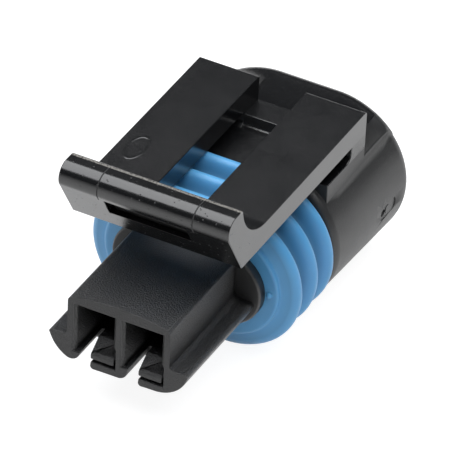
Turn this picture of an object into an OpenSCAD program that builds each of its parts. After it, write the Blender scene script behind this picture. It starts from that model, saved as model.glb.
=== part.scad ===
// Two-way sealed wire-to-wire connector housing with its ring seal and rear cable seal.
// X runs across the contacts, -Y is the mating end, the latch is on top, and the shell rests on Z = 0.

/* [Contact cavities] */
// Distance between the two cavity centres
cavity_pitch = 4.68; // [4.5:0.05:6]
// Clear width of a cavity
cavity_w = 3.58; // [3.3:0.02:3.7]
// Ceiling of a cavity above the contact axis
cavity_top = 2.7; // [2.2:0.05:3]
// Floor of a cavity below the contact axis
cavity_floor = 2.3; // [2:0.05:2.4]
// How much the mouth of a cavity widens at each side wall
mouth_lead = 0.32; // [0.1:0.02:0.35]
// Depth of that lead-in
mouth_depth = 0.3; // [0.2:0.05:1]
// Depth of the wide part of a cavity from the mating face
cavity_depth = 13.5; // [10:0.1:16]
// Side of the square wire channel behind a cavity
channel_w = 3; // [2:0.1:3.6]

/* [Contact lances] */
// Width of a contact lance
lance_w = 2.25; // [1.5:0.05:2.4]
// Height of the tooth's top below the contact axis
lance_top = 0.9; // [0.7:0.05:1.4]
// Height of the lance's underside below the contact axis
lance_under = 2.5; // [2.4:0.05:2.7]
// Free length of a lance
lance_len = 7.5; // [5:0.1:9]
// Height of the lance's blunt front
lance_tip_h = 0.5; // [0.3:0.05:0.7]
// Thickness of the lance behind its tooth
lance_beam = 0.6; // [0.4:0.05:0.7]
// Length of the ramp that leads up to the tooth
tooth_ramp = 1.5; // [1:0.05:2]
// Length of the tooth's flat top
tooth_flat = 1.1; // [0.6:0.05:1.5]
// Length of the pit cut into the ramp from one side
pit_len = 1.45; // [1:0.05:1.8]
// Distance of the pit from the lance's front and its open side from the other
pit_wall = 0.3; // [0.2:0.05:0.5]
// Room under a lance to bend into
lance_gap = 0.35; // [0.2:0.05:0.5]
// Gap between a lance and the cavity wall beside it
lance_side_gap = 0.18; // [0.1:0.02:0.3]
// Width of the slot through the nose floor beside each lance
floor_slot_w = 1.1; // [0.8:0.05:1.3]
// Length of that slot from the mating face
floor_slot_len = 4.1; // [3:0.1:9]
// Radius of the nose's corner on the far side of each floor slot
foot_r = 0.9; // [0.3:0.05:1.1]
// Radius of the nose's corner on the lance's side of each floor slot
foot_edge_r = 0.35; // [0.1:0.05:0.5]

/* [Nose] */
// Length of the nose from the mating face to its flange
nose_len = 12.1; // [9:0.1:16]
// Thickness of the nose's side walls at the mating face
nose_wall = 0.55; // [0.5:0.05:1]
// How much each side wall draws in towards the flange
nose_taper = 0.1; // [0:0.01:0.3]
// Height of the crowned top above the contact axis
nose_top = 3.86; // [3.5:0.02:4.5]
// Radius of the crown across the nose
crown_r = 22; // [12:1:60]
// Edge radius along the nose's upper corners
nose_edge_r = 0.5; // [0.2:0.05:0.6]
// Radius of the rounded wings under the nose
wing_r = 3.3; // [3:0.05:3.6]
// Height of the wings' upper face below the contact axis
wing_drop = 0.75; // [0.4:0.05:1]
// Radius of the hollow between a wing and the wall above it
wing_fillet = 0.6; // [0.2:0.05:0.8]
// Radius of the edge between a wing's flat top and its round side
wing_edge_r = 0.3; // [0.1:0.05:0.5]

/* [Seal seat] */
// Half the distance between the end centres of the oblong seat
seat_run = 3.55; // [2.5:0.05:4.5]
// Radius of the seat's round ends
seat_r = 3.4; // [3.2:0.05:4]
// How far the seal's centre line lies below the contact axis
seat_drop = 0.25; // [0:0.05:0.6]
// Radial height of the flange in front of the seal
flange_h = 0.38; // [0.2:0.02:0.6]
// Thickness of that flange
flange_t = 0.95; // [0.5:0.05:1.5]
// Radial clearance of each seal to the plastic
seal_clearance = 0.08; // [0.05:0.01:0.2]

/* [Ring seal] */
// Length of the ring seal
seal_len = 8.4; // [7.5:0.1:12]
// Half the distance between the end centres of the lips
seal_run = 3.08; // [2.5:0.02:4]
// How much smaller the radius of the lips' round ends is than the shell's
lip_inset = 0.25; // [0.1:0.05:0.8]
// Radial height of a lip over the groove beside it
lip_h = 1.45; // [0.8:0.05:1.6]
// Distance between neighbouring lips
lip_pitch = 2.92; // [2.6:0.02:3.2]
// Number of tall lips
lip_count = 3; // [2:1:3]
// Distance of the first tall lip's crest from the seal's front face
first_lip = 1.2; // [1:0.05:1.5]
// Radius of a lip's crest
crest_r = 0.55; // [0.3:0.05:0.65]
// Radius of the groove between two lips
groove_r = 0.7; // [0.4:0.05:0.8]
// Radius of the round ends of the small lip at each end of the seal
front_lip_r = 5.55; // [5.4:0.05:6]
// Radius of that small lip's crest
end_lip_r = 0.22; // [0.1:0.02:0.3]

/* [Shell] */
// Length of the rear shell
shell_len = 14; // [12:0.1:20]
// Half the distance between the end centres of the shell
shell_run = 2.86; // [2.5:0.02:4]
// Radius of the shell's round ends at the rear
shell_r = 7.45; // [7.3:0.05:8.5]
// How far the shell's centre line lies below the contact axis
shell_drop = 0.6; // [0.3:0.05:0.8]
// How much the shell's radius shrinks from rear to front
shell_draft = 0.36; // [0:0.02:0.5]
// Radius of the outer edge round the rear opening
rim_r = 1.6; // [0.6:0.1:1.7]
// Radius of the outer edge round the shell's front
front_edge_r = 0.8; // [0.3:0.1:1.2]
// Thickness of the wall round the rear pocket
shell_wall = 1.75; // [1.2:0.05:2.2]
// Depth of the rear pocket
pocket_depth = 9; // [8:0.1:11]

/* [Gate mark on the shell] */
// Distance of the gate mark's middle from the rear face
gate_from_rear = 4.6; // [3.6:0.1:6]
// How far the gate mark lies below the shell's centre line, as an angle round the shell's end
gate_angle = 4; // [0:1:15]
// Length of the gate mark's hollow
gate_len = 3; // [2.4:0.1:4]
// Width of that hollow
gate_w = 1.4; // [1:0.1:1.8]
// Depth of that hollow
gate_depth = 0.25; // [0.15:0.05:0.4]
// Diameter of the stub left by the broken-off gate
gate_stub_d = 0.8; // [0.4:0.1:1]
// Height of that stub over the bottom of the hollow
gate_stub_h = 0.15; // [0.05:0.05:0.15]
// Diameter of the pit torn at the hollow's front end
gate_pit_d = 0.7; // [0.3:0.1:1]
// Depth of that pit below the shell's surface
gate_pit_depth = 0.6; // [0.4:0.05:0.8]

/* [Cable seal] */
// Length of the cable seal
cable_seal_len = 4.6; // [3:0.1:5]
// Number of ribs round the cable seal
rib_count = 2; // [1:1:3]
// Height of a rib
rib_h = 0.35; // [0.2:0.05:0.5]
// Diameter of a wire hole
wire_hole_d = 1.9; // [1.2:0.1:2.6]

/* [Latch] */
// Width of the latch over its two rails
latch_w = 16.5; // [15:0.1:18]
// Width of the window between the rails
window_w = 4.76; // [4.3:0.02:6]
// Height of the rails' top above the contact axis
rail_top = 9.5; // [9.3:0.05:10.5]
// Thickness of the rails
rail_t = 2.35; // [1.5:0.05:2.4]
// Length of the latch from its lip's front to the rails' rear end
latch_len = 25.9; // [25:0.1:27]
// Distance of the latch lip's front behind the mating face
latch_setback = 3.65; // [3:0.05:4.5]
// Thickness of the lip
lip_t = 2.6; // [2.3:0.05:3]
// Height of the lip's top above the contact axis
lip_top = 13.5; // [12.5:0.1:14]
// Radius of the lip's rounded front
lip_front_r = 1.3; // [1:0.05:1.4]
// Slope of the lead-in ramp from the horizontal
ramp_angle = 59; // [55:1:65]
// Radius of the hollow behind the lip
hollow_r = 4.34; // [3.8:0.02:4.6]
// Radius of the lip's rear edge
lip_edge_r = 0.35; // [0.2:0.05:0.45]
// Length of the rails' root on the shell
root_len = 2.65; // [2:0.05:4]
// Radius of the rails' upper rear edge
rail_edge_r = 0.3; // [0.1:0.05:0.5]
// Width of the pocket in the ramp
ramp_pocket_w = 7.9; // [5:0.1:9]
// Height of the pocket's foot above the rails' underside
ramp_pocket_z = 2.2; // [1.5:0.1:2.5]
// Height of the pocket in the ramp
ramp_pocket_h = 1.8; // [1:0.1:2]
// Depth of the pocket in the ramp at its foot
ramp_pocket_d = 0.72; // [0.3:0.02:0.9]

/* [Saddle under the latch] */
// Room between the saddle and the rails
latch_gap = 1.3; // [1:0.05:1.5]
// Radius of the corner under the rails' root
root_r = 0.85; // [0.4:0.05:0.9]
// Radius of the corner at the rear of the window
window_r = 0.3; // [0.2:0.05:0.6]
// How far the saddle stands over the round of the shell
saddle_rise = 0.1; // [0.05:0.05:0.4]
// Distance of the saddle's front behind the shell's front
saddle_setback = 1; // [0.8:0.1:2]

/* [Hidden] */
$fn = 96;
crown_steps = 240;
arc_steps = 10;
over = 0.5;   // overrun of a cut past the face that it opens

// Stations along the connector, from the mating face
flange_y = nose_len;
seal_y = flange_y + flange_t;
shell_y = seal_y + seal_len;
rear_y = shell_y + shell_len;
pocket_y = rear_y - pocket_depth;
rail_end_y = latch_setback + latch_len;
root_y = rail_end_y - root_len;
saddle_y = shell_y + saddle_setback;

// Heights and places, from the contact axis
rail_under = rail_top - rail_t;
saddle_top = rail_under - latch_gap;
mouth_w = cavity_w + 2 * mouth_lead;
nose_w = cavity_pitch + mouth_w + 2 * nose_wall;
nose_bottom = seat_drop + wing_r;
cavity_mid = (cavity_top - cavity_floor) / 2;
lance_left = mouth_w / 2 - lance_side_gap - lance_w;
slot_left = lance_left - floor_slot_w;
pocket_r = shell_r - shell_wall;

// The latch bar: its rounded lip, the ramp's upper end and the hollow behind the lip
lip_c = [latch_setback + lip_front_r, lip_top - lip_front_r];
ramp_start = lip_c - lip_front_r * [sin(ramp_angle), cos(ramp_angle)];
hollow_c = [latch_setback + lip_t + hollow_r, rail_top + hollow_r];
window_y = hollow_c[0];

// The part stands on its shell, centred over its own box
stand_h = shell_drop + shell_r;
mid_y = rear_y / 2;

// Where the ramp is, at a height z
function ramp_y(z) = ramp_start[0] + (ramp_start[1] - z) / tan(ramp_angle);

// Points of an arc about c, from angle a0 to a1
function arc(c, r, a0, a1) = [
    for (i = [0:arc_steps])
        let (a = a0 + (a1 - a0) * i / arc_steps)
            c + r * [cos(a), sin(a)]
];

// Puts a sub-part, drawn from the mating face and the contact axis, on its place
module placed()
    translate([0, -mid_y, stand_h]) children();

// Extrudes an outline drawn in Y and Z to a width centred on X = 0
module across(width)
    rotate([90, 0, 90]) translate([0, 0, -width / 2]) linear_extrude(width) children();

// Extrudes an outline drawn in X and Z from y0 to y1
module along(y0, y1)
    translate([0, y1, 0]) rotate([90, 0, 0]) linear_extrude(y1 - y0) children();

// Sweeps a profile, drawn as distance from the centre line and place along Y, round an oblong
module oblong_sweep(run, drop)
    translate([0, 0, -drop]) rotate([90, 0, 180])
        for (a = [0, 180]) rotate([0, 0, a]) {
            translate([run, 0, 0]) rotate([0, 0, -90]) rotate_extrude(angle = 180) children();
            translate([-run, 0, 0]) rotate([90, 0, 90]) linear_extrude(2 * run) children();
        }

module oblong_outline(run, drop, r)
    translate([0, -drop]) {
        for (s = [-1, 1]) translate([s * run, 0]) circle(r);
        square([2 * run, 2 * r], center = true);
    }

// ---------- connector housing ----------

// The nose above its wings: straight walls, rounded upper corners and a crowned top
module nose_upper_outline() {
    corner_x = nose_w / 2 - nose_edge_r;
    crown_z = nose_top - crown_r;
    corner_z = crown_z + sqrt(pow(crown_r - nose_edge_r, 2) - pow(corner_x, 2));
    joint_x = corner_x * crown_r / (crown_r - nose_edge_r);
    intersection() {
        translate([0, crown_z]) circle(crown_r, $fn = crown_steps);
        translate([-joint_x, -cavity_floor]) square([2 * joint_x, nose_top + cavity_floor + over]);
    }
    for (s = [-1, 1]) translate([s * corner_x, corner_z]) circle(nose_edge_r);
    translate([-nose_w / 2, -cavity_floor]) square([nose_w, corner_z + cavity_floor]);
}

// The wings: the lower part of an oblong, with its upper edges rounded
module wings_outline() {
    edge_z = -wing_drop - wing_edge_r;
    edge_run = sqrt(pow(wing_r - wing_edge_r, 2) - pow(edge_z + seat_drop, 2));
    edge_x = seat_run + edge_run;
    joint = [seat_run, -seat_drop] + wing_r / (wing_r - wing_edge_r) * [edge_run, edge_z + seat_drop];
    intersection() {
        oblong_outline(seat_run, seat_drop, wing_r);
        union() {
            translate([-joint[0] - over, -nose_bottom - over])
                square([2 * (joint[0] + over), joint[1] + nose_bottom + over]);
            translate([-edge_x, -nose_bottom]) square([2 * edge_x, nose_bottom - wing_drop]);
        }
    }
    for (s = [-1, 1]) translate([s * edge_x, edge_z]) circle(wing_edge_r);
}

module nose_lower_outline() {
    wings_outline();
    difference() {
        half_w = nose_w / 2 - nose_taper + wing_fillet;
        translate([-half_w, -wing_drop]) square([2 * half_w, wing_fillet]);
        for (s = [-1, 1]) translate([s * half_w, wing_fillet - wing_drop]) circle(wing_fillet);
    }
}

// The walls draw in towards the flange, seen from above
module nose_plan()
    polygon([
        [-nose_w / 2, 0], [nose_w / 2, 0],
        [nose_w / 2 - nose_taper, nose_len], [-nose_w / 2 + nose_taper, nose_len]
    ]);

module nose() {
    intersection() {
        along(0, nose_len) nose_upper_outline();
        translate([0, 0, -nose_bottom]) linear_extrude(nose_bottom + nose_top + over) nose_plan();
    }
    along(0, nose_len) nose_lower_outline();
}

// The core that the ring seal sits on, with the flange that keeps the seal back
module seal_seat() {
    along(flange_y, shell_y + over) oblong_outline(seat_run, seat_drop, seat_r);
    flange_r = seat_r + flange_h;
    edge_r = flange_t / 4;
    oblong_sweep(seat_run, seat_drop)
        polygon(concat(
            [[0, seal_y], [0, flange_y]],
            arc([flange_r - edge_r, flange_y + edge_r], edge_r, -90, 0),
            [[flange_r, seal_y]]
        ));
}

// Rounded and drafted rear shell, solid until its pocket is cut
module shell() {
    front_r = shell_r - shell_draft;
    oblong_sweep(shell_run, shell_drop)
        polygon(concat(
            [[0, shell_y]],
            arc([front_r - front_edge_r, shell_y + front_edge_r], front_edge_r, -90, 0),
            arc([shell_r - rim_r, rear_y - rim_r], rim_r, 0, 90),
            [[0, rear_y]]
        ));
}

// Radius of the shell's round ends at a place along the connector
function shell_radius(y) =
    shell_r - shell_draft * (rear_y - rim_r - y) / (shell_len - rim_r - front_edge_r);

// What the broken-off gate left in the shell's side: an oblong hollow with a stub and a pit in it
module gate_mark() {
    gate_y = rear_y - gate_from_rear;
    surface_r = shell_radius(gate_y);
    bottom_r = surface_r - gate_depth;
    end_run = (gate_len - gate_w) / 2;
    translate([shell_run, gate_y, -shell_drop]) rotate([0, 90 + gate_angle, 0]) {
        difference() {
            translate([0, 0, bottom_r]) linear_extrude(gate_depth + over)
                rotate(90) oblong_outline(end_run, 0, gate_w / 2);
            cylinder(d = gate_stub_d, h = bottom_r + gate_stub_h);
        }
        translate([0, -end_run, surface_r - gate_pit_depth])
            cylinder(d = gate_pit_d, h = gate_pit_depth);
    }
}

// The raised part of the shell that the latch stands on: flat below the rails, round behind them
module saddle() {
    crown = shell_r + saddle_rise;
    translate([-latch_w / 2, saddle_y, 0]) cube([latch_w, rail_end_y - saddle_y, saddle_top]);
    intersection() {
        oblong_sweep(shell_run, shell_drop)
            polygon(concat(
                [[0, saddle_y], [crown, saddle_y]],
                arc([crown - rim_r, rear_y - rim_r], rim_r, 0, 90),
                [[0, rear_y]]
            ));
        translate([-latch_w / 2, saddle_y, 0]) cube([latch_w, shell_len, rail_top]);
    }
}

// The space from the shell's front to y1 over the saddle, with a round in its lower rear corner
module over_saddle_outline(y1, height, r)
    difference() {
        translate([shell_y - over, saddle_top]) square([y1 - shell_y + over, height]);
        difference() {
            translate([y1 - r, saddle_top]) square(r);
            translate([y1 - r, saddle_top + r]) circle(r);
        }
    }

// Side view of the latch: lip, ramp and hollow in front, then the rails and their root
module latch_outline()
    difference() {
        union() {
            translate(lip_c) circle(lip_front_r);
            polygon([
                ramp_start, [ramp_y(rail_under), rail_under], [window_y, rail_under],
                [window_y, lip_top - lip_edge_r], lip_rear, lip_rear + lip_edge_r * [-1, 1],
                [lip_c[0], lip_top]
            ]);
            translate(lip_rear - [lip_edge_r, 0]) circle(lip_edge_r);
            translate([window_y, rail_under])
                square([rail_end_y - rail_edge_r - window_y, rail_t]);
            translate([rail_end_y - rail_edge_r, rail_top - rail_edge_r]) circle(rail_edge_r);
            translate([root_y - root_r, saddle_top])
                square([rail_end_y - root_y + root_r, rail_top - rail_edge_r - saddle_top]);
        }
        translate(hollow_c) circle(hollow_r);
        over_saddle_outline(root_y, latch_gap, root_r);
    }

// The lip's rear face, where its upper edge starts to round
lip_rear = [
    hollow_c[0] - sqrt(pow(hollow_r, 2) - pow(hollow_c[1] - lip_top + lip_edge_r, 2)),
    lip_top - lip_edge_r
];

module latch() {
    pocket_z = rail_under + ramp_pocket_z;
    difference() {
        across(latch_w) latch_outline();
        translate([-window_w / 2, window_y, saddle_top - over])
            cube([window_w, latch_len, rail_top]);
        translate([-ramp_pocket_w / 2, 0, pocket_z])
            cube([ramp_pocket_w, ramp_y(pocket_z) + ramp_pocket_d, ramp_pocket_h]);
    }
}

// Side view of a contact lance: a beam that rises from the floor, with its tooth near the free end
module lance_outline() {
    tooth_end = tooth_ramp + tooth_flat;
    polygon([
        [0, -lance_under], [0, lance_tip_h - lance_under], [tooth_ramp, -lance_top],
        [tooth_end, -lance_top], [tooth_end + lance_tip_h, lance_beam - lance_under],
        [lance_len, -cavity_floor], [lance_len + over, -cavity_floor],
        [lance_len + over, -lance_under - lance_gap], [lance_len, -lance_under - lance_gap]
    ]);
}

// A lance in its cavity, with the three-cornered pit in its ramp
module lance() {
    pit_x = lance_left + pit_wall;
    side_x = lance_left + lance_w + over;
    difference() {
        translate([lance_left + lance_w / 2, 0, 0]) across(lance_w) lance_outline();
        translate([0, 0, lance_tip_h / 2 - lance_under]) linear_extrude(lance_under)
            polygon([[pit_x, pit_wall], [side_x, pit_wall], [side_x, pit_wall + pit_len]]);
    }
}

// The room beside and below a lance, as far back as the lance is free
module lance_room_outline()
    translate([lance_left - lance_side_gap, -lance_under - lance_gap])
        square([mouth_w / 2 - lance_left + lance_side_gap,
            lance_under + lance_gap - lance_top + lance_side_gap]);

// The slot beside a lance, right through the floor of the nose
module floor_slot_outline()
    translate([slot_left, -nose_bottom - over]) square([floor_slot_w, nose_bottom + over]);

// The side walls lead in at the mouth, seen from above
module cavity_plan()
    polygon([
        [-mouth_w / 2 - mouth_lead, -mouth_depth], [mouth_w / 2 + mouth_lead, -mouth_depth],
        [cavity_w / 2, mouth_depth], [cavity_w / 2, cavity_depth],
        [-cavity_w / 2, cavity_depth], [-cavity_w / 2, mouth_depth]
    ]);

// One cavity and its wire channel, about the cavity's own centre
module cavity_space() {
    translate([0, 0, -cavity_floor]) linear_extrude(cavity_floor + cavity_top) cavity_plan();
    along(-over, lance_len) lance_room_outline();
    along(-over, floor_slot_len) floor_slot_outline();
    translate([-channel_w / 2, cavity_depth - over, cavity_mid - channel_w / 2])
        cube([channel_w, pocket_y - cavity_depth + 2 * over, channel_w]);
}

// Rounds the lower corner of the nose at a floor slot, on the side that dir points away from.
// The round has its centre at x = cx and runs into the underside, or into a wing's own curve.
module foot_round(cx, r, dir) {
    wing_c = [sign(cx) * min(abs(cx), seat_run), -seat_drop];
    c = [cx, -seat_drop - sqrt(pow(wing_r - r, 2) - pow(cx - wing_c[0], 2))];
    outer = c + wing_r * (c - wing_c) / norm(c - wing_c);
    along(-over, floor_slot_len) difference() {
        polygon([c, outer, [c[0] + dir * (r + over), outer[1]], [c[0] + dir * (r + over), c[1]]]);
        translate(c) circle(r);
    }
}

module connector_housing() placed() color("#1d1e21") {
    difference() {
        union() {
            nose();
            seal_seat();
            difference() {
                union() {
                    shell();
                    saddle();
                }
                across(latch_w + 2 * over) over_saddle_outline(root_y, rail_top, window_r);
            }
            latch();
        }
        for (s = [-1, 1]) {
            cavity_x = s * cavity_pitch / 2;
            translate([cavity_x, 0, 0]) cavity_space();
            foot_round(cavity_x + slot_left - foot_r, foot_r, 1);
            foot_round(cavity_x + lance_left + foot_edge_r, foot_edge_r, -1);
        }
        oblong_sweep(shell_run, shell_drop)
            translate([0, pocket_y]) square([pocket_r, pocket_depth + over]);
        gate_mark();
    }
    for (s = [-1, 1]) translate([s * cavity_pitch / 2, 0, 0]) lance();
}

// ---------- ring seal ----------

// Radius of the lips' round ends: the lips fill the same shroud as the shell does
lip_r = shell_r - lip_inset;

// Slope of a lip's flank, along the common tangent of its crest and the groove beside it
crest_to_groove = lip_h - crest_r - groove_r;
flank = acos((crest_r + groove_r) / norm([lip_pitch / 2, crest_to_groove]))
    - atan2(crest_to_groove, lip_pitch / 2);

module ring_seal_profile() {
    neck_r = front_lip_r - seal_clearance;
    last_lip = first_lip + (lip_count - 1) * lip_pitch;
    groove_c = lip_r - lip_h + groove_r;
    polygon(concat(
        [[0, 0]],
        arc([front_lip_r - end_lip_r, end_lip_r], end_lip_r, -90, 0),
        [[neck_r, 2 * end_lip_r]],
        [for (k = [0:lip_count - 1]) each concat(
            arc([lip_r - crest_r, first_lip + k * lip_pitch], crest_r, flank - 90, 90 - flank),
            k == lip_count - 1 ? []
                : arc([groove_c, first_lip + (k + 0.5) * lip_pitch], groove_r, 270 - flank, 90 + flank)
        )],
        [[neck_r, min(seal_len - 2 * end_lip_r, last_lip + lip_pitch / 2)]],
        arc([front_lip_r - end_lip_r, seal_len - end_lip_r], end_lip_r, 0, 90),
        [[0, seal_len]]
    ));
}

module ring_seal() placed() color("#4a93c4")
    difference() {
        oblong_sweep(seal_run, seat_drop) translate([0, seal_y]) ring_seal_profile();
        along(seal_y - over, shell_y + over)
            oblong_outline(seat_run, seat_drop, seat_r + seal_clearance);
    }

// ---------- cable seal ----------

module cable_seal_profile() {
    body_r = pocket_r - seal_clearance - rib_h;
    step = cable_seal_len / (rib_count + 1);
    polygon(concat(
        [[0, 0], [body_r, 0]],
        [for (k = [1:rib_count]) each arc([body_r, k * step], rib_h, -90, 90)],
        [[body_r, cable_seal_len], [0, cable_seal_len]]
    ));
}

module cable_seal() placed() color("#6f7f8c")
    difference() {
        oblong_sweep(shell_run, shell_drop) translate([0, pocket_y]) cable_seal_profile();
        for (s = [-1, 1])
            translate([s * cavity_pitch / 2, pocket_y - over, cavity_mid])
                rotate([-90, 0, 0]) cylinder(d = wire_hole_d, h = cable_seal_len + 2 * over);
    }

connector_housing();
ring_seal();
cable_seal();
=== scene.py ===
"""A two-way sealed cable connector housing: black moulded housing, blue ring seal, cable seal."""
import math

import bmesh
import bpy
from mathutils import Matrix, Quaternion, Vector


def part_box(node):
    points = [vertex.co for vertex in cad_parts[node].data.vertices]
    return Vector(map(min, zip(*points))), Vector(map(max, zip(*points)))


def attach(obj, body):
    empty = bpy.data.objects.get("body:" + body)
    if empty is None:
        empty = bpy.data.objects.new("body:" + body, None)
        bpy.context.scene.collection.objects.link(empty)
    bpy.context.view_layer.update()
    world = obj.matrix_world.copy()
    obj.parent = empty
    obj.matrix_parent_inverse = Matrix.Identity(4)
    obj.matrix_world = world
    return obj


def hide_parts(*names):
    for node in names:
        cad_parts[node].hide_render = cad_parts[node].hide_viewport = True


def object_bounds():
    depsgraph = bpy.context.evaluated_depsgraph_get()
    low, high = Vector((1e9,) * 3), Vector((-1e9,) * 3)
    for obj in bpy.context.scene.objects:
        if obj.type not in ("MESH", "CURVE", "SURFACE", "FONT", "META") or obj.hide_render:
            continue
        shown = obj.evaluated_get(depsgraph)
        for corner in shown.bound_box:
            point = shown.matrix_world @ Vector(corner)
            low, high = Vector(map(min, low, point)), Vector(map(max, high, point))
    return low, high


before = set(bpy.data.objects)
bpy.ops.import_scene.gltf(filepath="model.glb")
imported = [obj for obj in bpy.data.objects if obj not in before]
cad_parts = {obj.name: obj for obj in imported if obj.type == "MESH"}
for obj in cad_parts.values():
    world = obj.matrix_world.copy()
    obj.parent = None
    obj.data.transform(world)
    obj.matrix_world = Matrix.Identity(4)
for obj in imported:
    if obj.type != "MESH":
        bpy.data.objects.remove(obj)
cad_low, cad_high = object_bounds()
mm = 0.001

# ---- Connector housing ----
# One injection moulding in black glass-filled nylon: nose, flange, rear shell and latch.
# The mould's spark-eroded faces leave a fine grain on the nose and shell, and its polished faces
# leave a gloss on the latch's lip, ramp and flanks.

nose_face_y = cad_low.y
contact_axis_z = 8.05 * mm
rail_under_z = contact_axis_z + 7.15 * mm
saddle_top_z = contact_axis_z + 5.85 * mm
lip_rear_y = nose_face_y + 6.4 * mm
nose_rear_y = nose_face_y + 12.1 * mm
edge_round = 0.09 * mm
weld_distance = 0.002 * mm
flat_angle = math.radians(0.6)
round_over_angle = math.radians(30)
sharp_angle = math.radians(35)

# A merged copy of the CAD mesh gets its flat faces back as whole faces, then round outer edges.
mould = bmesh.new()
mould.from_mesh(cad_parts["connector_housing"].data)
bmesh.ops.remove_doubles(mould, verts=mould.verts, dist=weld_distance)
bmesh.ops.dissolve_limit(mould, angle_limit=flat_angle, verts=mould.verts, edges=mould.edges)
# The gate mark on the right flank is shallow, as a cut gate is: its hollow comes up by a share.
gate_y = cad_high.y - 4.6 * mm
gate_z = contact_axis_z - 1.12 * mm
gate_half_length = 1.6 * mm
gate_half_width = 0.9 * mm
gate_rim_depth = 0.05 * mm
gate_raise = 0.6
for vert in mould.verts:
    depth = cad_high.x - vert.co.x
    along_gate = abs(vert.co.y - gate_y) < gate_half_length
    across_gate = abs(vert.co.z - gate_z) < gate_half_width
    if along_gate and across_gate and 0.17 * mm < depth < 0.95 * mm:
        vert.co.x += gate_raise * (depth - gate_rim_depth)


def is_outer_edge(edge):
    """Whether an edge is sharp, stands out, and has enough face on both sides for a round."""
    wide = all(face.calc_area() > (8 * edge_round) ** 2 for face in edge.link_faces)
    return wide and edge.is_convex and edge.calc_face_angle() > round_over_angle


outer_edges = [edge for edge in mould.edges if is_outer_edge(edge)]
bmesh.ops.bevel(mould, geom=outer_edges, offset=edge_round, offset_type="OFFSET", segments=2,
                profile=0.5, affect="EDGES", clamp_overlap=False)
bmesh.ops.recalc_face_normals(mould, faces=mould.faces)
moulding = bpy.data.meshes.new("moulding")
mould.to_mesh(moulding)
mould.free()
moulding.shade_smooth()
moulding.set_sharp_from_angle(angle=sharp_angle)
housing = bpy.data.objects.new("housing_moulding", moulding)
bpy.context.scene.collection.objects.link(housing)


def finished(piece):
    """Turns a piece's modifiers into plain mesh and takes them off."""
    depsgraph = bpy.context.evaluated_depsgraph_get()
    mesh = bpy.data.meshes.new_from_object(piece.evaluated_get(depsgraph))
    piece.modifiers.clear()
    piece.data = mesh
    return piece


flats = housing.modifiers.new("flat_faces", "WEIGHTED_NORMAL")
flats.keep_sharp = True
finished(housing)
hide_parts("connector_housing")
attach(housing, "root")


def wire(tree, kind, settings=None, **inputs):
    """Adds a node to a tree, sets its options, and links or sets its inputs by name or number."""
    node = tree.nodes.new(kind)
    for option, value in (settings or {}).items():
        setattr(node, option, value)
    for key, value in inputs.items():
        socket = node.inputs[int(key[1:])] if key[1:].isdigit() else node.inputs[key.replace("_", " ")]
        if isinstance(value, bpy.types.NodeSocket):
            tree.links.new(value, socket)
        else:
            socket.default_value = value
    return node


def calc(tree, operation, *terms):
    """A math node on numbers or sockets, for shader and geometry trees alike."""
    inputs = {f"i{n}": term for n, term in enumerate(terms)}
    return wire(tree, "ShaderNodeMath", {"operation": operation}, **inputs).outputs[0]


def ramp_between(tree, value, start, end, smooth=True):
    """0 below start and 1 above end, or the other way round when start is larger."""
    kind = "SMOOTHSTEP" if smooth else "LINEAR"
    node = wire(tree, "ShaderNodeMapRange", {"interpolation_type": kind}, Value=value,
                From_Min=start, From_Max=end)
    return node.outputs["Result"]


def new_group(name, kind, sockets):
    """An empty node group with its inputs and outputs."""
    tree = bpy.data.node_groups.new(name, kind)
    for in_out, socket_kind, socket_name in sockets:
        tree.interface.new_socket(socket_name, in_out=in_out, socket_type="NodeSocket" + socket_kind)
    return tree, tree.nodes.new("NodeGroupInput").outputs, tree.nodes.new("NodeGroupOutput").inputs


# Fine, uneven grain of an eroded mould face, with a mask of its high spots and one of rare pits.
grain, inp, out = new_group("moulded_grain", "ShaderNodeTree", [
    ("INPUT", "Vector", "Vector"), ("INPUT", "Float", "Grains per mm"),
    ("OUTPUT", "Float", "Height"), ("OUTPUT", "Float", "High spots"), ("OUTPUT", "Float", "Pits"),
    ("OUTPUT", "Float", "Clouds")])
in_mm = wire(grain, "ShaderNodeVectorMath", {"operation": "SCALE"}, i0=inp["Vector"],
             Scale=1 / mm).outputs[0]
fine = wire(grain, "ShaderNodeTexNoise", Vector=in_mm, Scale=inp["Grains per mm"], Detail=3,
            Roughness=0.6).outputs["Fac"]
pit_field = wire(grain, "ShaderNodeTexVoronoi", Vector=in_mm, Scale=2.6).outputs["Distance"]
pit_choice = wire(grain, "ShaderNodeTexNoise", Vector=in_mm, Scale=1.7, Detail=1).outputs["Fac"]
pits = calc(grain, "MULTIPLY", ramp_between(grain, pit_field, 0.2, 0.1),
            ramp_between(grain, pit_choice, 0.5, 0.56))
clouds = wire(grain, "ShaderNodeTexNoise", Vector=in_mm, Scale=0.35, Detail=2).outputs["Fac"]
grain.links.new(fine, out["Height"])
grain.links.new(ramp_between(grain, fine, 0.56, 0.70), out["High spots"])
grain.links.new(pits, out["Pits"])
grain.links.new(clouds, out["Clouds"])

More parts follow.
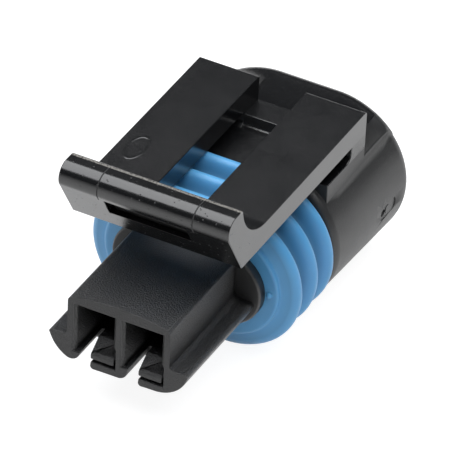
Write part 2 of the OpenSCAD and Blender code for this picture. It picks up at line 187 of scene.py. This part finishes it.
nylon_dark = (0.0035, 0.0037, 0.0042, 1)
nylon_high_spots = (0.013, 0.0134, 0.0140, 1)
# Pale colour of the painted highlight on the lip's rear edge.
nylon_painted_highlight = (0.28, 0.268, 0.247, 1)
bump_depth = 0.12 * mm
nylon = bpy.data.materials.new("black_nylon")
nylon.use_nodes = True
tree = nylon.node_tree
place = wire(tree, "ShaderNodeTexCoord").outputs["Object"]
axes = wire(tree, "ShaderNodeSeparateXYZ", Vector=place).outputs
facing = wire(tree, "ShaderNodeSeparateXYZ",
              Vector=wire(tree, "ShaderNodeNewGeometry").outputs["Normal"]).outputs
above_rails = ramp_between(tree, axes["Z"], rail_under_z - 0.1 * mm, rail_under_z + 0.1 * mm)
on_lip = calc(tree, "MULTIPLY", above_rails,
              ramp_between(tree, axes["Y"], lip_rear_y + 2.4 * mm, lip_rear_y))
on_side = ramp_between(tree, calc(tree, "ABSOLUTE", facing["X"]), 0.97, 0.995)
polished = calc(tree, "MAXIMUM", on_lip, calc(tree, "MULTIPLY", above_rails, on_side))
on_latch = ramp_between(tree, axes["Z"], saddle_top_z - 0.1 * mm, saddle_top_z - 0.05 * mm)
on_nose = calc(tree, "MULTIPLY", ramp_between(tree, axes["Y"], nose_rear_y, nose_rear_y - 0.5 * mm),
               ramp_between(tree, axes["Z"], rail_under_z, rail_under_z - 1 * mm))
texture = wire(tree, "ShaderNodeGroup", {"node_tree": grain}, Vector=place, Grains_per_mm=6.5).outputs
# The grain is deepest on the nose and all but gone where the mould is polished.
grain_depth = calc(tree, "MULTIPLY_ADD", on_nose, 0.95, 0.16)
grain_depth = calc(tree, "MULTIPLY", grain_depth, calc(tree, "MULTIPLY_ADD", polished, -0.90, 1.0))
height = calc(tree, "MULTIPLY", texture["Height"], grain_depth)
ramp_pits = calc(tree, "MULTIPLY", texture["Pits"], on_lip)
height = calc(tree, "MULTIPLY_ADD", ramp_pits, -0.20, height)
# Where the mould's slides close on the lip they leave a hair line over it, above the ramp.
slide_joints_x = (-4.46 * mm, 4.75 * mm)
ramp_top_z = contact_axis_z + 11.1 * mm
slide_line = calc(tree, "MAXIMUM", *(
    ramp_between(tree, calc(tree, "ABSOLUTE", calc(tree, "SUBTRACT", axes["X"], x)),
                 0.07 * mm, 0.02 * mm) for x in slide_joints_x))
above_ramp = ramp_between(tree, axes["Z"], ramp_top_z, ramp_top_z + 0.2 * mm)
slide_line = calc(tree, "MULTIPLY", calc(tree, "MULTIPLY", slide_line, above_ramp), on_lip)
height = calc(tree, "MULTIPLY_ADD", slide_line, -0.35, height)
# A plain oval, hardly raised, on the left rail.
oval_centre = (-6.45 * mm, nose_face_y + 14.5 * mm)
oval_half = (0.85 * mm, 1.75 * mm)
oval_x, oval_y = (
    calc(tree, "DIVIDE", calc(tree, "SUBTRACT", axes[axis], middle), half)
    for axis, middle, half in zip("XY", oval_centre, oval_half))
oval = calc(tree, "SQRT", calc(tree, "ADD", calc(tree, "MULTIPLY", oval_x, oval_x),
                               calc(tree, "MULTIPLY", oval_y, oval_y)))
oval_ring = ramp_between(tree, calc(tree, "ABSOLUTE", calc(tree, "SUBTRACT", oval, 1.0)), 0.12, 0.04)
on_rail_top = calc(tree, "GREATER_THAN", axes["Z"], rail_under_z + 2 * mm)
height = calc(tree, "MULTIPLY_ADD", calc(tree, "MULTIPLY", oval_ring, on_rail_top), 0.35, height)
bump = wire(tree, "ShaderNodeBump", Height=height, Distance=bump_depth, Strength=1.0)
colour = wire(tree, "ShaderNodeMix", {"data_type": "RGBA"}, Factor=texture["High spots"])
colour.inputs[6].default_value = nylon_dark
colour.inputs[7].default_value = nylon_high_spots
rough = calc(tree, "MULTIPLY_ADD", on_latch, -0.22, 0.46)
rough = calc(tree, "MULTIPLY_ADD", on_nose, -0.06, rough)
# Faces that look forwards are the mould's parting faces, duller than the rest.
looks_forward = ramp_between(tree, facing["Y"], -0.85, -0.98)
rough = calc(tree, "MULTIPLY_ADD", looks_forward, 0.25, rough)
rough = calc(tree, "MULTIPLY_ADD", slide_line, 0.5, rough)
rough = calc(tree, "MULTIPLY_ADD", ramp_pits, 0.2, rough)
rough = calc(tree, "MULTIPLY_ADD", polished, -0.04, rough)
rough = calc(tree, "MULTIPLY_ADD", texture["Clouds"], 0.10, calc(tree, "SUBTRACT", rough, 0.05))
shader = tree.nodes["Principled BSDF"]
# A pale, uneven line painted along the lip's rear edge is a painted highlight, where the edge's round
# would catch the lamp.
highlight_edge_y = lip_rear_y - 0.50 * mm
highlight_above_z = contact_axis_z + 13.2 * mm
off_edge = calc(tree, "ABSOLUTE", calc(tree, "SUBTRACT", axes["Y"], highlight_edge_y))
painted_highlight = calc(tree, "MULTIPLY", ramp_between(tree, off_edge, 0.18 * mm, 0.10 * mm),
            ramp_between(tree, axes["Z"], highlight_above_z, highlight_above_z + 0.1 * mm))
painted_highlight = calc(tree, "MULTIPLY", painted_highlight, ramp_between(tree, texture["Height"], 0.3, 0.6))
highlight_colour = wire(tree, "ShaderNodeMix", {"data_type": "RGBA"}, Factor=painted_highlight, i6=colour.outputs[2])
highlight_colour.inputs[7].default_value = nylon_painted_highlight
tree.links.new(highlight_colour.outputs[2], shader.inputs["Base Color"])
tree.links.new(rough, shader.inputs["Roughness"])
tree.links.new(bump.outputs["Normal"], shader.inputs["Normal"])
shader.inputs["Specular IOR Level"].default_value = 0.82
shader.inputs["IOR"].default_value = 1.55
housing.data.materials.clear()
housing.data.materials.append(nylon)

# ---- Ring seal ----
# Blue silicone ring that fills the gap to the mating shroud. Three tall lips and a small lip at
# each end run round an oblong. It is moulded by itself and stretched over its seat on the housing.

# A seal of lips round an oblong: a grid wrapped round the oblong and over the seal's section.
lipped_seal, inp, out = new_group("lipped_seal", "GeometryNodeTree", [
    ("INPUT", "Float", "Half run"), ("INPUT", "Float", "Lip radius"), ("INPUT", "Float", "Lip height"),
    ("INPUT", "Float", "Lip pitch"), ("INPUT", "Float", "First lip"), ("INPUT", "Float", "Length"),
    ("INPUT", "Float", "End lip radius"), ("INPUT", "Float", "End lip round"),
    ("INPUT", "Float", "Bore half run"), ("INPUT", "Float", "Bore radius"),
    ("INPUT", "Float", "Unevenness"), ("INPUT", "Vector", "Centre"), ("INPUT", "Int", "Steps round"),
    ("INPUT", "Int", "Steps along"), ("INPUT", "Material", "Material"),
    ("OUTPUT", "Geometry", "Geometry")])
g = lipped_seal
sheet = wire(g, "GeometryNodeMeshGrid", Size_X=1, Size_Y=1, Vertices_X=inp["Steps round"],
             Vertices_Y=inp["Steps along"]).outputs["Mesh"]
flat = wire(g, "ShaderNodeSeparateXYZ", Vector=wire(g, "GeometryNodeInputPosition").outputs[0]).outputs
# Half a step off, so that no row stands where a round end meets a straight.
half_step = calc(g, "DIVIDE", math.pi, calc(g, "SUBTRACT", inp["Steps round"], 1))
angle = calc(g, "MULTIPLY_ADD", flat["X"], 2 * math.pi, half_step)
across, up = calc(g, "COSINE", angle), calc(g, "SINE", angle)
side = calc(g, "SIGN", across)
# The section in four stretches: front face, outside, rear face and bore.
along = calc(g, "ADD", flat["Y"], 0.5)
front_face = ramp_between(g, along, 0.0, 0.06, smooth=False)
outside = ramp_between(g, along, 0.06, 0.86, smooth=False)
rear_face = ramp_between(g, along, 0.86, 0.92, smooth=False)
bore = ramp_between(g, along, 0.92, 1.0, smooth=False)
y = calc(g, "MULTIPLY", inp["Length"], calc(g, "SUBTRACT", outside, bore))
from_crest = calc(g, "DIVIDE", calc(g, "SUBTRACT", y, inp["First lip"]), inp["Lip pitch"])
steepness = 1.2
wave = calc(g, "COSINE", calc(g, "MULTIPLY", from_crest, 2 * math.pi))
wave = calc(g, "DIVIDE", calc(g, "TANH", calc(g, "MULTIPLY", wave, steepness)), math.tanh(steepness))
dip = calc(g, "MULTIPLY", calc(g, "MULTIPLY_ADD", wave, -0.5, 0.5), inp["Lip height"])
lips = calc(g, "SUBTRACT", inp["Lip radius"], dip)
from_end = calc(g, "MINIMUM", y, calc(g, "SUBTRACT", inp["Length"], y))
short = calc(g, "MAXIMUM", calc(g, "SUBTRACT", 1, calc(g, "DIVIDE", from_end, inp["End lip round"])), 0)
drop = calc(g, "SUBTRACT", 1, calc(g, "SQRT", calc(g, "SUBTRACT", 1, calc(g, "MULTIPLY", short, short))))
end_lip = calc(g, "SUBTRACT", inp["End lip radius"], calc(g, "MULTIPLY", drop, inp["End lip round"]))
end_zone = ramp_between(g, from_end, calc(g, "MULTIPLY", inp["End lip round"], 1.7),
                        calc(g, "MULTIPLY", inp["End lip round"], 2.3))
outer = calc(g, "ADD", calc(g, "MULTIPLY", end_lip, calc(g, "SUBTRACT", 1, end_zone)),
             calc(g, "MULTIPLY", lips, end_zone))
out_share = calc(g, "MULTIPLY", front_face, calc(g, "SUBTRACT", 1, rear_face))
radius = calc(g, "ADD", inp["Bore radius"],
              calc(g, "MULTIPLY", calc(g, "SUBTRACT", outer, inp["Bore radius"]), out_share))
run = calc(g, "ADD", inp["Bore half run"],
           calc(g, "MULTIPLY", calc(g, "SUBTRACT", inp["Half run"], inp["Bore half run"]), out_share))
x = calc(g, "ADD", calc(g, "MULTIPLY", side, run), calc(g, "MULTIPLY", across, radius))
z = calc(g, "MULTIPLY", up, radius)
shape = wire(g, "ShaderNodeCombineXYZ", X=x, Y=y, Z=z).outputs[0]
noise = wire(g, "ShaderNodeTexNoise", Vector=shape, Scale=420.0, Detail=1).outputs["Fac"]
uneven = calc(g, "MULTIPLY", calc(g, "MULTIPLY", calc(g, "SUBTRACT", noise, 1), out_share),
              inp["Unevenness"])
outward = wire(g, "ShaderNodeCombineXYZ", X=calc(g, "MULTIPLY", across, uneven), Y=0.0,
               Z=calc(g, "MULTIPLY", up, uneven)).outputs[0]
shape = wire(g, "ShaderNodeVectorMath", {"operation": "ADD"}, i0=shape, i1=outward).outputs[0]
shape = wire(g, "ShaderNodeVectorMath", {"operation": "ADD"}, i0=shape, i1=inp["Centre"]).outputs[0]
placed = wire(g, "GeometryNodeSetPosition", Geometry=sheet, Position=shape).outputs[0]
closed = wire(g, "GeometryNodeMergeByDistance", Geometry=placed, Distance=0.001 * mm).outputs[0]
outside_out = wire(g, "GeometryNodeFlipFaces", Mesh=closed).outputs[0]
smooth = wire(g, "GeometryNodeSetShadeSmooth", Geometry=outside_out).outputs[0]
real = wire(g, "GeometryNodeRealizeInstances", Geometry=smooth).outputs[0]
dressed = wire(g, "GeometryNodeSetMaterial", Geometry=real, Material=inp["Material"]).outputs[0]
g.links.new(dressed, out["Geometry"])

seal_low, seal_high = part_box("ring_seal")
seal_middle = (Vector(seal_low) + Vector(seal_high)) / 2
seal_run = 3.08 * mm
silicone_deep = (0.080, 0.315, 0.595, 1)
silicone_pale = (0.112, 0.370, 0.660, 1)
silicone = bpy.data.materials.new("blue_silicone")
silicone.use_nodes = True
tree = silicone.node_tree
place = wire(tree, "ShaderNodeTexCoord").outputs["Object"]
texture = wire(tree, "ShaderNodeGroup", {"node_tree": grain}, Vector=place, Grains_per_mm=3.0).outputs
colour = wire(tree, "ShaderNodeMix", {"data_type": "RGBA"}, Factor=texture["Clouds"])
colour.inputs[6].default_value = silicone_deep
colour.inputs[7].default_value = silicone_pale
# Painted shade darkens the colour in the grooves between the lips; the distance is from the oblong's
# long axis.
axes = wire(tree, "ShaderNodeSeparateXYZ", Vector=place).outputs
past_run = calc(tree, "SUBTRACT", calc(tree, "ABSOLUTE", axes["X"]), seal_run)
past_run = calc(tree, "MAXIMUM", past_run, 0)
from_axis = calc(tree, "SUBTRACT", axes["Z"], contact_axis_z)
from_axis = calc(tree, "SQRT", calc(tree, "ADD", calc(tree, "MULTIPLY", past_run, past_run),
                                    calc(tree, "MULTIPLY", from_axis, from_axis)))
on_crest = calc(tree, "MAXIMUM", ramp_between(tree, from_axis, 5.6 * mm, 6.9 * mm),
                ramp_between(tree, axes["Y"], seal_low[1] + 0.7 * mm, seal_low[1] + 0.4 * mm))
# Colour factor of the painted shade: 0.55 in the grooves, 1 on the crests and the front face.
groove_shade = calc(tree, "MULTIPLY_ADD", on_crest, 0.45, 0.55)
rough = calc(tree, "MULTIPLY_ADD", texture["Clouds"], 0.12, 0.34)
bump = wire(tree, "ShaderNodeBump", Height=texture["Height"], Distance=0.004 * mm, Strength=1.0)
shader = tree.nodes["Principled BSDF"]
shade_darkened_colour = wire(tree, "ShaderNodeVectorMath", {"operation": "SCALE"}, i0=colour.outputs[2],
             Scale=groove_shade).outputs[0]
tree.links.new(shade_darkened_colour, shader.inputs["Base Color"])
tree.links.new(rough, shader.inputs["Roughness"])
tree.links.new(bump.outputs["Normal"], shader.inputs["Normal"])
shader.inputs["Subsurface Weight"].default_value = 0.25
shader.inputs["Subsurface Radius"].default_value = (0.3, 0.7, 1.0)
shader.inputs["Subsurface Scale"].default_value = 0.6 * mm


def make_seal(name, sizes):
    """Runs the seal tree on an empty mesh with the given sizes and returns the finished piece."""
    piece = bpy.data.objects.new(name, bpy.data.meshes.new(name))
    bpy.context.scene.collection.objects.link(piece)
    modifier = piece.modifiers.new("shape", "NODES")
    modifier.node_group = lipped_seal
    for item in lipped_seal.interface.items_tree:
        if item.in_out == "INPUT" and item.name in sizes:
            modifier[item.identifier] = sizes[item.name]
    finished(piece)
    piece.data.materials.clear()
    piece.data.materials.append(silicone)
    return piece


ring_seal = make_seal("ring_seal_lips", {
    "Half run": seal_run, "Lip radius": 7.2 * mm, "Lip height": 1.45 * mm, "Lip pitch": 2.92 * mm,
    "First lip": 1.2 * mm, "Length": seal_high[1] - seal_low[1], "End lip radius": 5.55 * mm,
    "End lip round": 0.22 * mm, "Bore half run": 3.55 * mm, "Bore radius": 3.48 * mm,
    "Unevenness": 0.05 * mm, "Centre": (seal_middle.x, seal_low[1], seal_middle.z),
    "Steps round": 193, "Steps along": 151, "Material": silicone})
# The runner that fed the silicone leaves a small nub on the seal's front face.
nub_radius = 0.30 * mm
nub_place = Matrix.Translation((7.75 * mm, seal_low[1], contact_axis_z - 0.1 * mm))
nub = bmesh.new()
nub.from_mesh(ring_seal.data)
bmesh.ops.create_icosphere(nub, subdivisions=3, radius=nub_radius, matrix=nub_place)
for face in nub.faces:
    face.smooth = True
nub.to_mesh(ring_seal.data)
nub.free()
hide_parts("ring_seal")
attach(ring_seal, "root")

# ---- Cable seal ----
# Silicone plug with a hole for each wire, moulded by itself and pushed into the rear pocket.
# Low ribs round it press on the pocket's wall, and each hole is tighter than its wire.

plug_low, plug_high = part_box("cable_seal")
plug_middle = (Vector(plug_low) + Vector(plug_high)) / 2
plug_run = 2.86 * mm
plug_length = plug_high[1] - plug_low[1]
plug_radius = (plug_high[0] - plug_low[0]) / 2 - plug_run
plug_rib_height = 0.35 * mm
cable_seal = make_seal("cable_seal_plug", {
    "Half run": plug_run, "Lip radius": plug_radius, "Lip height": plug_rib_height,
    "Lip pitch": plug_length / 3, "First lip": plug_length / 3, "Length": plug_length,
    "End lip radius": plug_radius - plug_rib_height,
    "End lip round": 0.2 * mm, "Bore half run": plug_run, "Bore radius": 0.0, "Unevenness": 0.0,
    "Centre": (plug_middle.x, plug_low[1], plug_middle.z), "Steps round": 129, "Steps along": 101,
    "Material": silicone})
# The plug has no bore: what the tree left inside goes, and each end gets one flat face.
solid = bmesh.new()
solid.from_mesh(cable_seal.data)
near = 0.01 * mm
bored = [face for face in solid.faces
         if all(abs(vert.co.y - plug_low[1]) < near for vert in face.verts)
         or all(abs(vert.co.y - plug_high[1]) < near for vert in face.verts)
         or all(abs(vert.co.z - plug_middle.z) < near for vert in face.verts)]
bmesh.ops.delete(solid, geom=bored, context="FACES")
bmesh.ops.delete(solid, geom=[vert for vert in solid.verts if not vert.link_faces], context="VERTS")
rims = [edge for edge in solid.edges if len(edge.link_faces) == 1]
bmesh.ops.edgeloop_fill(solid, edges=rims)
bmesh.ops.recalc_face_normals(solid, faces=solid.faces)
solid.to_mesh(cable_seal.data)
solid.free()
hole_radius = 0.95 * mm
hole_pitch = 4.68 * mm
hole_z = 8.25 * mm
for end in (-1, 1):
    drill = bmesh.new()
    turn = Matrix.Translation((end * hole_pitch / 2, plug_middle.y, hole_z)) \
        @ Matrix.Rotation(math.radians(90), 4, "X")
    bmesh.ops.create_cone(drill, cap_ends=True, segments=48, radius1=hole_radius, radius2=hole_radius,
                          depth=plug_length + 1 * mm, matrix=turn)
    drill_mesh = bpy.data.meshes.new("drill")
    drill.to_mesh(drill_mesh)
    drill.free()
    drill_object = bpy.data.objects.new("drill", drill_mesh)
    bpy.context.scene.collection.objects.link(drill_object)
    cut = cable_seal.modifiers.new("hole", "BOOLEAN")
    cut.object, cut.operation, cut.solver = drill_object, "DIFFERENCE", "EXACT"
    finished(cable_seal)
    bpy.data.objects.remove(drill_object)
cable_seal.data.set_sharp_from_angle(angle=math.radians(40))
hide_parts("cable_seal")
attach(cable_seal, "root")

# ---- Floor, light and camera ----
# A pale floor under one wide soft lamp, in a dim room, so that black plastic shows its form.

centre = (cad_low + cad_high) / 2
bpy.ops.mesh.primitive_plane_add(size=3)
floor = bpy.context.object
floor.name = "floor"
pale = bpy.data.materials.new("pale_floor")
pale.use_nodes = True
tree = pale.node_tree
path = wire(tree, "ShaderNodeLightPath").outputs
seen = calc(tree, "MAXIMUM", calc(tree, "MAXIMUM", path["Is Camera Ray"], path["Is Glossy Ray"]),
            path["Is Transmission Ray"])
shade = calc(tree, "MULTIPLY_ADD", seen, -0.6, 0.9)
white = wire(tree, "ShaderNodeCombineColor", Red=shade, Green=shade, Blue=shade).outputs[0]
paint = wire(tree, "ShaderNodeBsdfDiffuse", Color=white).outputs[0]
glow = wire(tree, "ShaderNodeEmission", Strength=calc(tree, "MULTIPLY", seen, 0.9)).outputs[0]
both = wire(tree, "ShaderNodeAddShader", i0=paint, i1=glow).outputs[0]
tree.links.new(both, tree.nodes["Material Output"].inputs["Surface"])
floor.data.materials.append(pale)

world = bpy.data.worlds.new("room")
bpy.context.scene.world = world
world.use_nodes = True
tree = world.node_tree
path = wire(tree, "ShaderNodeLightPath").outputs
room = wire(tree, "ShaderNodeBackground", Color=(0.62, 0.64, 0.68, 1), Strength=0.11).outputs[0]
backdrop = wire(tree, "ShaderNodeBackground", Color=(1, 1, 1, 1), Strength=1.0).outputs[0]
shown = wire(tree, "ShaderNodeMixShader", Fac=path["Is Camera Ray"], i1=room, i2=backdrop).outputs[0]
tree.links.new(shown, tree.nodes["World Output"].inputs["Surface"])


def soft_lamp(name, azimuth, elevation, distance, size, radiance, tint=(1, 1, 1)):
    """A lamp of the given width and height that looks at the part's centre; azimuth 0 is in front
    of the nose. Its radiance is what a mirror would show of it, where 1 is white."""
    a, e = math.radians(azimuth), math.radians(elevation)
    direction = Vector((math.sin(a) * math.cos(e), -math.cos(a) * math.cos(e), math.sin(e)))
    data = bpy.data.lights.new(name, "AREA")
    data.shape = "RECTANGLE"
    data.size, data.size_y = size
    data.energy = radiance * math.pi * size[0] * size[1]
    data.color = tint
    lamp = bpy.data.objects.new(name, data)
    bpy.context.scene.collection.objects.link(lamp)
    lamp.location = centre + direction * distance
    lamp.rotation_euler = (-direction).to_track_quat("-Z", "Y").to_euler()
    return lamp


soft_lamp("lamp_above", 0, 90, 0.35, (0.56, 0.52), 3.25, tint=(0.97, 0.98, 1.0))

camera_data = bpy.data.cameras.new("camera")
camera = bpy.data.objects.new("camera", camera_data)
bpy.context.scene.collection.objects.link(camera)
bpy.context.scene.camera = camera
azimuth, elevation, roll = (math.radians(v) for v in (26.648, 36.345, 2.569))
target = Vector((6.951, -12.043, 19.75)) * mm
back = Vector((math.sin(azimuth) * math.cos(elevation), -math.cos(azimuth) * math.cos(elevation),
               math.sin(elevation)))
camera.location = target + back * 579.45 * mm
camera.rotation_mode = "QUATERNION"
camera.rotation_quaternion = (-back).to_track_quat("-Z", "Y") @ Quaternion((0, 0, 1), roll)
camera_data.sensor_width = 36
camera_data.lens = 544.8
camera_data.clip_start = 0.01
camera_data.clip_end = 20

bpy.context.scene.view_settings.view_transform = "Standard"
